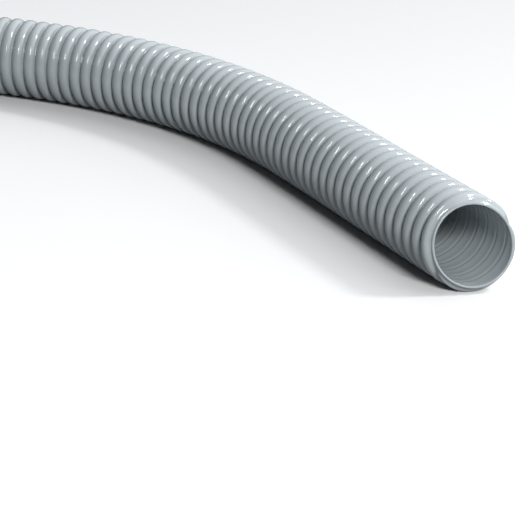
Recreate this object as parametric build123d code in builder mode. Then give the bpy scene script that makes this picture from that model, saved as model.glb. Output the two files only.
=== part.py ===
"""Reinforced plastic conduit: half a metre of ribbed, flexible grey plastic tube, open at both ends.

It lies free on a level floor and bends in one long bow. X runs along the straight stretch behind the
near mouth, Z is up and z = 0 is the floor. The origin is on the floor, under the middle of the box
around the part. All sizes are in millimetres.
"""
import os
from math import pi, radians, tan

from build123d import *

os.makedirs("parts", exist_ok=True)

# Driving dimensions
BORE_D = 32.0      # the smooth way through
WEB_WALL = 0.85    # thickness of the soft wall at the bottom of a groove
RIB_HEIGHT = 2.4   # of a crest above the bottom of the groove beside it
RIB_PITCH = 6.7    # from one rib to the next, along the tube
BEND_SHARE = 0.45  # of the shorter run beside a corner of the route, taken up by its arc

WEB_D = BORE_D + 2 * WEB_WALL
OUTER_D = WEB_D + 2 * RIB_HEIGHT

# The near mouth was cut by hand, so its face leans away from square: sideways to -Y, and upwards
CUT_SIDEWAYS = 12.8  # degrees
CUT_UPWARDS = 12.5   # degrees
CUT_BACK = 7.2       # from the start of the route to the middle of the cut face
LIP_LENGTH = 1.3     # of bare wall that stands out past the trimmed ribs, along the tube

# The route of the centre line over the floor, from the near mouth to the far one
ROUTE = [
    (213, 102), (153, 102), (90, 103), (32, 102), (-24, 87),
    (-76, 56), (-124, 5), (-164, -57), (-196.15, -113.5),
]


def largest_radii(points):
    """The radius of the largest arc that each corner of the route leaves room for."""
    radii = []
    for before, corner, after in zip(points, points[1:], points[2:]):
        turn = (after - corner).get_angle(corner - before)
        shorter = min((corner - before).length, (after - corner).length)
        radii.append(BEND_SHARE * shorter / tan(radians(turn) / 2))
    return radii


def section_plane(path, distance):
    """The plane square to the path at a distance along it, with its x direction up."""
    share = distance / path.length
    return Plane(path @ share, x_dir=(0, 0, 1), z_dir=path % share)


def wave_stations(length):
    """Each groove and crest along the tube, as its distance from the start and its radius."""
    ribs = round(length / RIB_PITCH)
    half_pitch = length / ribs / 2
    return [(i * half_pitch, (OUTER_D if i % 2 else WEB_D) / 2) for i in range(2 * ribs + 1)]


centre_line = [Vector(x, y, OUTER_D / 2) for x, y in ROUTE]
bend_radii = largest_radii(centre_line)
print("bend radii, mm:", [round(r) for r in bend_radii])

with BuildLine() as route:
    FilletPolyline(*centre_line, radius=bend_radii)
path = route.wire()
print(f"length along the centre line: {path.length - CUT_BACK:.1f} mm")

# The near cut leans, and its outward direction is tied to the straight stretch along X
face_normal = Vector(1, -tan(radians(CUT_SIDEWAYS)), tan(radians(CUT_UPWARDS)))
cut_centre = centre_line[0] - Vector(CUT_BACK, 0, 0)
lip_foot = cut_centre - Vector(LIP_LENGTH, 0, 0)

# The way through the tube, as a solid to take away
with BuildPart() as bore:
    with BuildSketch(section_plane(path, 0)):
        Circle(BORE_D / 2)
    sweep(path=path)

# What the knife trims off the ribs beside the near cut: all that stands above the bare wall there
with BuildPart() as rib_trim:
    with BuildSketch(section_plane(path, 0)):
        Circle(OUTER_D)
        Circle(WEB_D / 2, mode=Mode.SUBTRACT)
    extrude(amount=CUT_BACK + LIP_LENGTH + OUTER_D)
    split(bisect_by=Plane(lip_foot, z_dir=face_normal), keep=Keep.TOP)

# The waves outside are straight flanks between a ring in each groove and a ring at each crest
with BuildPart() as conduit:
    for distance, radius in wave_stations(path.length):
        with BuildSketch(section_plane(path, distance)):
            Circle(radius)
    loft(ruled=True)
    add(bore.part, mode=Mode.SUBTRACT)
    mean_radius = (OUTER_D + WEB_D) / 4
    section = pi * (mean_radius**2 + RIB_HEIGHT**2 / 12 - (BORE_D / 2) ** 2)
    print(f"volume {conduit.part.volume:.0f} mm3, section times length {section * path.length:.0f} mm3")
    # The hand-made cut takes the square end off at a slant
    split(bisect_by=Plane(cut_centre, z_dir=face_normal), keep=Keep.BOTTOM)
    add(rib_trim.part, mode=Mode.SUBTRACT)

conduit.part.label = "conduit"
export_step(conduit.part, "parts/conduit.step")

box = conduit.part.bounding_box()
print("box", [round(v, 2) for v in (*box.min, *box.max)], "solids", len(conduit.part.solids()))
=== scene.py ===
# %% [markdown]
# # Ribbed plastic conduit
#
# Half a metre of grey plastic conduit lies on a pale floor. Its rib winds round the outside as one long
# screw thread, it is smooth inside, and its near mouth was cut off by hand at a slant. Everything here is in
# metres, in the frame of the CAD part: X along the straight stretch behind the near mouth, Z up, and the
# floor at z = 0.
#
# The first cell loads the CAD part.

import math
from bisect import bisect_right

import bpy
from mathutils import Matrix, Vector


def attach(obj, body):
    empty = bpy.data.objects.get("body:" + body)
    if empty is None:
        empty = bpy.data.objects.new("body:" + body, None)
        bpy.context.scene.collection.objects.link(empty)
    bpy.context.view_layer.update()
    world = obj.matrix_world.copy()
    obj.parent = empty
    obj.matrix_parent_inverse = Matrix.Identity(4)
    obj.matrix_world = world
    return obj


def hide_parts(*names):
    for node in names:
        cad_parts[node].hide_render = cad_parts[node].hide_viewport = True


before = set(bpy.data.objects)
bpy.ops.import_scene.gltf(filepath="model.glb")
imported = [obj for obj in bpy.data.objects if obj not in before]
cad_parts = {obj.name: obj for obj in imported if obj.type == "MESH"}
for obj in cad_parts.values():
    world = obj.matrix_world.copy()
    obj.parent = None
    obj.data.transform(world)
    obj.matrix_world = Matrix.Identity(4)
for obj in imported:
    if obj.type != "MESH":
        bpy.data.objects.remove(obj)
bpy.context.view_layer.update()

# %% [markdown]
# ## The camera
#
# It stands where the photo was taken from, about 0.8 m from the near mouth and looking a little down. The
# long lens keeps the far end of the tube nearly as large as the near one, as it is in the photo.

# %%
# Place the camera
PHOTO_SIDE = 515  # pixels
FOCAL_PIXELS = 2000  # the focal length, measured in pixels of the photo

camera_data = bpy.data.cameras.new("photo_camera")
camera_data.lens = FOCAL_PIXELS / PHOTO_SIDE * camera_data.sensor_width
camera_data.clip_start = 0.01
camera_data.clip_end = 50
camera = bpy.data.objects.new("photo_camera", camera_data)
camera.location = (0.80323, -0.33381, 0.30206)
camera.rotation_euler = [math.radians(a) for a in (68.271, -2.683, 61.538)]
bpy.context.scene.collection.objects.link(camera)
bpy.context.scene.camera = camera
print("lens:", round(camera_data.lens, 1), "mm")

# %% [markdown]
# ## The route of the tube
#
# The centre line is a NURBS curve with the same control points as the CAD route. It starts and ends at the
# first and the last point, and runs smoothly past the others. Blender turns it into a fine chain of points,
# and the tube is built along that chain.

# %%
# Draw the centre line and read points from it
TUBE_RADIUS = 0.03850 / 2
ROUTE = [
    (0.213, 0.102), (0.153, 0.102), (0.090, 0.103), (0.032, 0.102), (-0.024, 0.087),
    (-0.076, 0.056), (-0.124, 0.005), (-0.164, -0.057), (-0.19615, -0.1135),
]

line_data = bpy.data.curves.new("centre_line", "CURVE")
line_data.dimensions = "3D"
line_data.resolution_u = 32
line = line_data.splines.new("NURBS")
line.points.add(len(ROUTE) - 1)
for point, (x, y) in zip(line.points, ROUTE):
    point.co = (x, y, TUBE_RADIUS, 1)
line.order_u = 3
line.use_endpoint_u = True
line_object = bpy.data.objects.new("centre_line", line_data)
chain_mesh = bpy.data.meshes.new_from_object(line_object)
chain = [v.co.copy() for v in chain_mesh.vertices]
bpy.data.objects.remove(line_object)

travelled = [0.0]
for a, b in zip(chain, chain[1:]):
    travelled.append(travelled[-1] + (b - a).length)
route_length = travelled[-1]


def on_route(distance):
    """The point at a distance along the centre line, and the direction there."""
    i = min(max(bisect_right(travelled, distance) - 1, 0), len(chain) - 2)
    step = chain[i + 1] - chain[i]
    share = (distance - travelled[i]) / step.length
    before = chain[i] - chain[i - 1] if i > 0 else step
    after = chain[i + 2] - chain[i + 1] if i < len(chain) - 2 else step
    mix = min(max(share, 0.0), 1.0)
    direction = (before + step).normalized().lerp((step + after).normalized(), mix)
    return chain[i] + step * share, direction.normalized()


print("chain points:", len(chain), "length:", round(route_length, 4))

# %% [markdown]
# ## The shape of the wall
#
# Along the tube the outside repeats once per pitch: a stiff bead, close to half round, and a narrow web of
# thin, soft wall beside it. Inside, the wall is smooth but for a soft wave and a faint seam once per turn.
#
# The near mouth is different. The bead was trimmed off beside the cut, so the bare wall stands out as a thin
# lip. Behind the lip the bead rises to its full height over a short shoulder.

# %%
# Describe the rib, the bore and the mouth
PITCH = 0.0067
RIB_HEIGHT = 0.0024
WEB_RADIUS = TUBE_RADIUS - RIB_HEIGHT
BEAD_SHARE = 0.84  # of the pitch, taken up by the bead
BEAD_FULLNESS = 2.2  # 2 gives a round bead, and more a flatter crest
GROOVE_AT_TOP = 0.0131  # from the start of the route to the middle of a groove, at the top of the tube

BORE_RADIUS = 0.01600
WAVE_DEPTH = 0.00018  # of the soft wave inside, under each bead
SEAM_DEPTH = 0.00022
SEAM_HALF_WIDTH = 0.07  # of a pitch

COLUMNS = 60  # round the tube
BEAD_STEPS = 12  # places across the bead

CUT_SIDEWAYS = math.radians(12.8)
CUT_UPWARDS = math.radians(12.5)
CUT_BACK = 0.0072  # from the start of the route to the middle of the cut face
LIP_LENGTH = 0.0013  # of bare wall that stands out past the bead
SHOULDER_LENGTH = 0.0018  # from the lip to where the bead has its full height


def column_angle(column):
    """Angle round the tube, from the top towards -Y."""
    return 2 * math.pi * column / COLUMNS


def near_cut(angle, radius):
    """How far along the tube the slanted near cut lies, at an angle and a radius."""
    back_at_top = math.tan(CUT_UPWARDS) * math.cos(angle)
    back_at_side = math.tan(CUT_SIDEWAYS) * math.sin(angle)
    return CUT_BACK + radius * (back_at_top + back_at_side)


def turns_at(distance, column):
    """How many pitches a place is along the thread, counted from a groove."""
    return (distance - GROOVE_AT_TOP) / PITCH + column / COLUMNS


def between(value, low, high):
    """How far a value has come from low to high, kept from 0 to 1."""
    return min(max((value - low) / (high - low), 0.0), 1.0)


def bead_height(turns):
    """Height of the bead as a share of its full height, where whole turns are the middle of the groove."""
    from_crest = abs(turns - math.floor(turns) - 0.5) * 2 / BEAD_SHARE
    return math.sqrt(max(0.0, 1 - from_crest**BEAD_FULLNESS))


def outside_radius(distance, column):
    """Radius of the outside at a place along and round the tube."""
    behind = distance - near_cut(column_angle(column), WEB_RADIUS)
    swell = math.sqrt(1 - (1 - between(behind, LIP_LENGTH, LIP_LENGTH + SHOULDER_LENGTH)) ** 2)
    return WEB_RADIUS + RIB_HEIGHT * swell * bead_height(turns_at(distance, column))


def inside_radius(distance, column):
    """Radius of the bore, with a soft wave under each bead and a faint seam under each groove."""
    turns = turns_at(distance, column)
    from_seam = abs(turns - round(turns)) / SEAM_HALF_WIDTH
    wave = WAVE_DEPTH * (1 - math.cos(2 * math.pi * turns)) / 2
    return BORE_RADIUS + wave + SEAM_DEPTH * max(0.0, 1 - from_seam)


# Places across one pitch, which are closest together at the two feet of the bead and at the seam
bead_angles = [math.pi * (k / BEAD_STEPS - 0.5) for k in range(BEAD_STEPS + 1)]
OUTSIDE_TURNS = [0.0] + [0.5 + 0.5 * BEAD_SHARE * math.sin(a) for a in bead_angles]
INSIDE_TURNS = [0.0, SEAM_HALF_WIDTH, 0.25, 0.4, 0.6, 0.75, 1 - SEAM_HALF_WIDTH]
print("wall in a groove:", round(1000 * (WEB_RADIUS - BORE_RADIUS), 2), "mm")

# %% [markdown]
# ## Where the points of the tube go
#
# The mesh is made of columns that run along the tube, side by side round it. Every column has its points at
# the same places across the rib, and each next column is shifted towards the mouth by its share of one
# pitch, so the edges of the mesh follow the rib as it winds. Near the slanted cut the points lie in rings
# that are parallel to the cut instead, which keeps its lip even. Both ends have a small rounded edge outside
# and inside.

# %%
# Work out where the points of one column go
EDGE_ROUND = 0.00022
RING_STEP = 0.0004  # between the rings of the shoulder behind the lip
SHOULDER_RINGS = 6
# The three rings of a rounded edge: how far from the cut face, and how far into the wall
EDGE_RINGS = [(0, EDGE_ROUND), (0.3 * EDGE_ROUND, 0.3 * EDGE_ROUND), (EDGE_ROUND, 0)]


def place(distance, angle, radius):
    """The point of the tube at a distance along it, at an angle round it and at a radius."""
    centre, direction = on_route(distance)
    side = Vector((direction.y, -direction.x, 0))
    return centre - side * (math.sin(angle) * radius) + Vector((0, 0, math.cos(angle) * radius))


def skin_rows(column, shares, first, last):
    """The distances along the tube of one column's numbered rows, from a first place to a last one."""
    rows = {}
    for turn in range(math.floor(turns_at(first, column)) - 1, math.ceil(turns_at(last, column)) + 1):
        for k, share in enumerate(shares):
            distance = (turn + share - column / COLUMNS) * PITCH + GROOVE_AT_TOP
            if first < distance < last:
                rows[turn * len(shares) + k] = distance
    return rows


def near_rings(column, outside):
    """The rings beside the near cut, from the cut face on, each as a distance along the tube and a radius."""
    angle = column_angle(column)
    if outside:
        cut = near_cut(angle, WEB_RADIUS)
        lip = [(cut + back, WEB_RADIUS - under) for back, under in EDGE_RINGS]
        lip += [(cut + back, WEB_RADIUS) for back in (0.6 * LIP_LENGTH, LIP_LENGTH)]
        shoulder = [cut + LIP_LENGTH + RING_STEP * (k + 1) for k in range(SHOULDER_RINGS)]
        return lip + [(distance, outside_radius(distance, column)) for distance in shoulder]
    inner_edge = EDGE_RINGS + [(2 * EDGE_ROUND, 0)]
    return [(near_cut(angle, BORE_RADIUS) + back, BORE_RADIUS + under) for back, under in inner_edge]


def far_rings(column, outside):
    """The rings beside the far cut, up to the cut face."""
    radius = (outside_radius if outside else inside_radius)(route_length - EDGE_ROUND, column)
    into_wall = -1 if outside else 1
    return [(route_length - back, radius + into_wall * under) for back, under in reversed(EDGE_RINGS)]


print("rings at the near cut:", len(near_rings(0, True)), "outside and", len(near_rings(0, False)), "inside")

# %% [markdown]
# ## Building the tube
#
# First come the points, column after column, and then the faces between each column and the next. The rows
# of a column are numbered along the rib. So the last column meets the first one a whole turn later, and its
# neighbour's numbers are shifted by the rows of one pitch. Two rings of faces across the wall close the
# ends.

# %%
# Build the tube as one closed mesh
vertices, faces = [], []


def add_points(column, places):
    """Adds the points at these distances and radii of a column, and returns their numbers."""
    angle = column_angle(column)
    vertices.extend(place(distance, angle, radius) for distance, radius in places)
    return list(range(len(vertices) - len(places), len(vertices)))


def add_columns(shares, radius_of, outside):
    """Adds the points of the outside or the inside: each column's rows, near rings and far rings."""
    columns = []
    for column in range(COLUMNS):
        near, far = near_rings(column, outside), far_rings(column, outside)
        rows = skin_rows(column, shares, near[-1][0] + EDGE_ROUND, far[0][0] - EDGE_ROUND)
        skin = [(distance, radius_of(distance, column)) for distance in rows.values()]
        numbers = dict(zip(rows, add_points(column, skin)))
        columns.append((numbers, add_points(column, near), add_points(column, far)))
    return columns


def strips_between(column, beside, shift):
    """The faces between a column and the one beside it, whose row numbers are shifted."""
    here, near, far = column
    there, near_there, far_there = beside
    there = {row + shift: number for row, number in there.items()}
    both = sorted(set(here) & set(there))
    strips = [[here[a], here[b], there[b], there[a]] for a, b in zip(both, both[1:])]
    strips.append([near[-1]] + [here[r] for r in sorted(here) if r <= both[0]]
                  + [there[r] for r in sorted(there, reverse=True) if r <= both[0]] + [near_there[-1]])
    strips.append([here[r] for r in sorted(here) if r >= both[-1]] + [far[0], far_there[0]]
                  + [there[r] for r in sorted(there, reverse=True) if r >= both[-1]])
    for edge, edge_there in ((near, near_there), (far, far_there)):
        for k in range(len(edge) - 1):
            strips.append([edge[k], edge[k + 1], edge_there[k + 1], edge_there[k]])
    return strips


def add_skin(shares, radius_of, outside):
    """Adds the outside or the inside of the tube. Returns the loops of points on its two cut faces."""
    columns = add_columns(shares, radius_of, outside)
    for a, column in enumerate(columns):
        b = (a + 1) % COLUMNS
        strips = strips_between(column, columns[b], len(shares) if b == 0 else 0)
        faces.extend(strips if outside else [strip[::-1] for strip in strips])
    return [near[0] for _, near, _ in columns], [far[-1] for _, _, far in columns]


near_outer, far_outer = add_skin(OUTSIDE_TURNS, outside_radius, True)
near_inner, far_inner = add_skin(INSIDE_TURNS, inside_radius, False)
for a in range(COLUMNS):
    b = (a + 1) % COLUMNS
    faces.append([near_outer[b], near_inner[b], near_inner[a], near_outer[a]])
    faces.append([far_outer[a], far_inner[a], far_inner[b], far_outer[b]])

tube_mesh = bpy.data.meshes.new("ribbed_tube")
tube_mesh.from_pydata([tuple(v) for v in vertices], [], faces)
tube_mesh.validate()
tube_mesh.polygons.foreach_set("use_smooth", [True] * len(tube_mesh.polygons))
tube_mesh.update()
tube = bpy.data.objects.new("ribbed_tube", tube_mesh)
bpy.context.scene.collection.objects.link(tube)
tube_mesh.calc_loop_triangles()
print("triangles:", len(tube_mesh.loop_triangles))

# %% [markdown]
# ## The plastic
#
# Glossy, light grey with a little blue in it, under a thin clear coat. A soft noise, the clouds, makes slow
# changes in colour and gloss, which keep the long surface from looking drawn. A fine noise gives the skin a
# very faint unevenness, through a bump node that tilts the light without moving the mesh.

# %%
# Mix the grey plastic
plastic = bpy.data.materials.new("grey_plastic")
plastic.use_nodes = True
nodes, links = plastic.node_tree.nodes, plastic.node_tree.links
shader = nodes["Principled BSDF"]
shader.inputs["IOR"].default_value = 1.5
shader.inputs["Coat Weight"].default_value = 0.8
shader.inputs["Coat Roughness"].default_value = 0.06
where = nodes.new("ShaderNodeTexCoord")
clouds = nodes.new("ShaderNodeTexNoise")
clouds.inputs["Scale"].default_value = 35
clouds.inputs["Detail"].default_value = 4
links.new(where.outputs["Object"], clouds.inputs["Vector"])
tint = nodes.new("ShaderNodeMix")
tint.data_type = "RGBA"
tint.inputs["A"].default_value = (0.37, 0.41, 0.43, 1)
tint.inputs["B"].default_value = (0.43, 0.47, 0.49, 1)
links.new(clouds.outputs["Fac"], tint.inputs["Factor"])
links.new(tint.outputs["Result"], shader.inputs["Base Color"])
gloss = nodes.new("ShaderNodeMapRange")
gloss.inputs["To Min"].default_value = 0.09
gloss.inputs["To Max"].default_value = 0.15
links.new(clouds.outputs["Fac"], gloss.inputs["Value"])
links.new(gloss.outputs["Result"], shader.inputs["Roughness"])
skin = nodes.new("ShaderNodeTexNoise")
skin.inputs["Scale"].default_value = 900
skin.inputs["Detail"].default_value = 2
links.new(where.outputs["Object"], skin.inputs["Vector"])
relief = nodes.new("ShaderNodeBump")
relief.inputs["Strength"].default_value = 0.12
relief.inputs["Distance"].default_value = 0.0002
links.new(skin.outputs["Fac"], relief.inputs["Height"])
links.new(relief.outputs["Normal"], shader.inputs["Normal"])
tube_mesh.materials.append(plastic)
print("material:", plastic.name)

# %% [markdown]
# ## Floor and sky
#
# The camera sees a pale floor and a pale sky, as in the photo. The light that reaches the tube is another
# one: a Light Path node tells the camera's own rays from all others, and mixes two shaders by it. The sky
# that lights the tube is brightest up behind it, which lights the top evenly, and the floor that lights it
# gives back little light, so the underside stays dark.

# %%
# Lay the floor and set the sky
FLOOR_REACH = 20


def seen_or_lit(tree, seen, lit):
    """Shows one shader to the camera and uses the other for all the light that reaches the tube."""
    path = tree.nodes.new("ShaderNodeLightPath")
    mix = tree.nodes.new("ShaderNodeMixShader")
    tree.links.new(path.outputs["Is Camera Ray"], mix.inputs["Fac"])
    tree.links.new(lit.outputs[0], mix.inputs[1])
    tree.links.new(seen.outputs[0], mix.inputs[2])
    return mix.outputs[0]


floor_mesh = bpy.data.meshes.new("floor")
corners = [(x * FLOOR_REACH, y * FLOOR_REACH, 0) for x, y in ((-1, -1), (1, -1), (1, 1), (-1, 1))]
floor_mesh.from_pydata(corners, [], [(0, 1, 2, 3)])
floor = bpy.data.objects.new("floor", floor_mesh)
bpy.context.scene.collection.objects.link(floor)
floor_paint = bpy.data.materials.new("pale_floor")
floor_paint.use_nodes = True
tree = floor_paint.node_tree
floor_seen = tree.nodes.new("ShaderNodeBsdfDiffuse")
floor_seen.inputs["Color"].default_value = (0.9, 0.9, 0.9, 1)
floor_lit = tree.nodes.new("ShaderNodeBsdfDiffuse")
floor_lit.inputs["Color"].default_value = (0.35, 0.36, 0.37, 1)
tree.links.new(seen_or_lit(tree, floor_seen, floor_lit), tree.nodes["Material Output"].inputs["Surface"])
floor_mesh.materials.append(floor_paint)

sky = bpy.data.worlds.new("pale_sky")
sky.use_nodes = True
tree = sky.node_tree
sky_seen = tree.nodes["Background"]
sky_seen.inputs["Color"].default_value = (1, 1, 1, 1)
sky_seen.inputs["Strength"].default_value = 1
sky_lit = tree.nodes.new("ShaderNodeBackground")
direction = tree.nodes.new("ShaderNodeTexCoord")
towards_light = tree.nodes.new("ShaderNodeVectorMath")
towards_light.operation = "DOT_PRODUCT"
towards_light.inputs[1].default_value = Vector((-0.1, 0.80, 0.60)).normalized()
tree.links.new(direction.outputs["Generated"], towards_light.inputs[0])
fade = tree.nodes.new("ShaderNodeMapRange")
fade.inputs["From Min"].default_value = 0.25
fade.inputs["From Max"].default_value = 1.0
fade.inputs["To Min"].default_value = 0.02
fade.inputs["To Max"].default_value = 1.45
tree.links.new(towards_light.outputs["Value"], fade.inputs["Value"])
tree.links.new(fade.outputs["Result"], sky_lit.inputs["Strength"])
sky_lit.inputs["Color"].default_value = (0.93, 0.97, 1, 1)
tree.links.new(seen_or_lit(tree, sky_seen, sky_lit), tree.nodes["World Output"].inputs["Surface"])
bpy.context.scene.world = sky
print("floor:", floor.name, "sky:", sky.name)

# %% [markdown]
# ## Lamps
#
# The key lamp stands low off the mouth's side and shines nearly along the tube. Every bead throws its shade
# into the groove behind it, and the light reaches into the mouth. With visible_glossy off, the lamp itself
# isn't seen in the reflections, where it would draw a row of highlights of its own. A small lamp draws the
# ovals along the upper edge. A narrow one draws the thin streaks below them. With visible_diffuse off it is
# seen in reflections only, so it doesn't fill the grooves with light.

# %%
# Hang the lamps
LAMP_DISTANCE = 1.6


def add_lamp(name, towards, size, power):
    """A soft lamp that shines on the tube from a direction."""
    data = bpy.data.lights.new(name, "AREA")
    data.shape = "RECTANGLE"
    data.size, data.size_y = size
    data.energy = power
    lamp = bpy.data.objects.new(name, data)
    lamp.location = Vector(towards).normalized() * LAMP_DISTANCE
    lamp.rotation_euler = Vector(towards).to_track_quat("Z", "Y").to_euler()
    bpy.context.scene.collection.objects.link(lamp)
    return lamp


key_lamp = add_lamp("key_lamp", (0.82, -0.08, 0.52), (0.45, 0.30), 18)
key_lamp.visible_glossy = False
add_lamp("oval_lamp", (0.25, 0.70, 0.67), (0.23, 0.23), 7)
streak_lamp = add_lamp("streak_lamp", (0.66, -0.30, 0.69), (0.12, 0.60), 6.5)
streak_lamp.visible_diffuse = False
bpy.context.scene.view_settings.view_transform = "Standard"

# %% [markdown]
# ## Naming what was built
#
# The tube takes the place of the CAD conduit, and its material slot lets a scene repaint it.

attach(tube, "root")
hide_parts("conduit")
mouth_centre, _ = on_route(CUT_BACK)
LINE_STEPS = 200
tube_length = route_length - CUT_BACK
tube_line = [on_route(CUT_BACK + tube_length * i / LINE_STEPS)[0] for i in range(LINE_STEPS + 1)]
print("declared", tube.name)
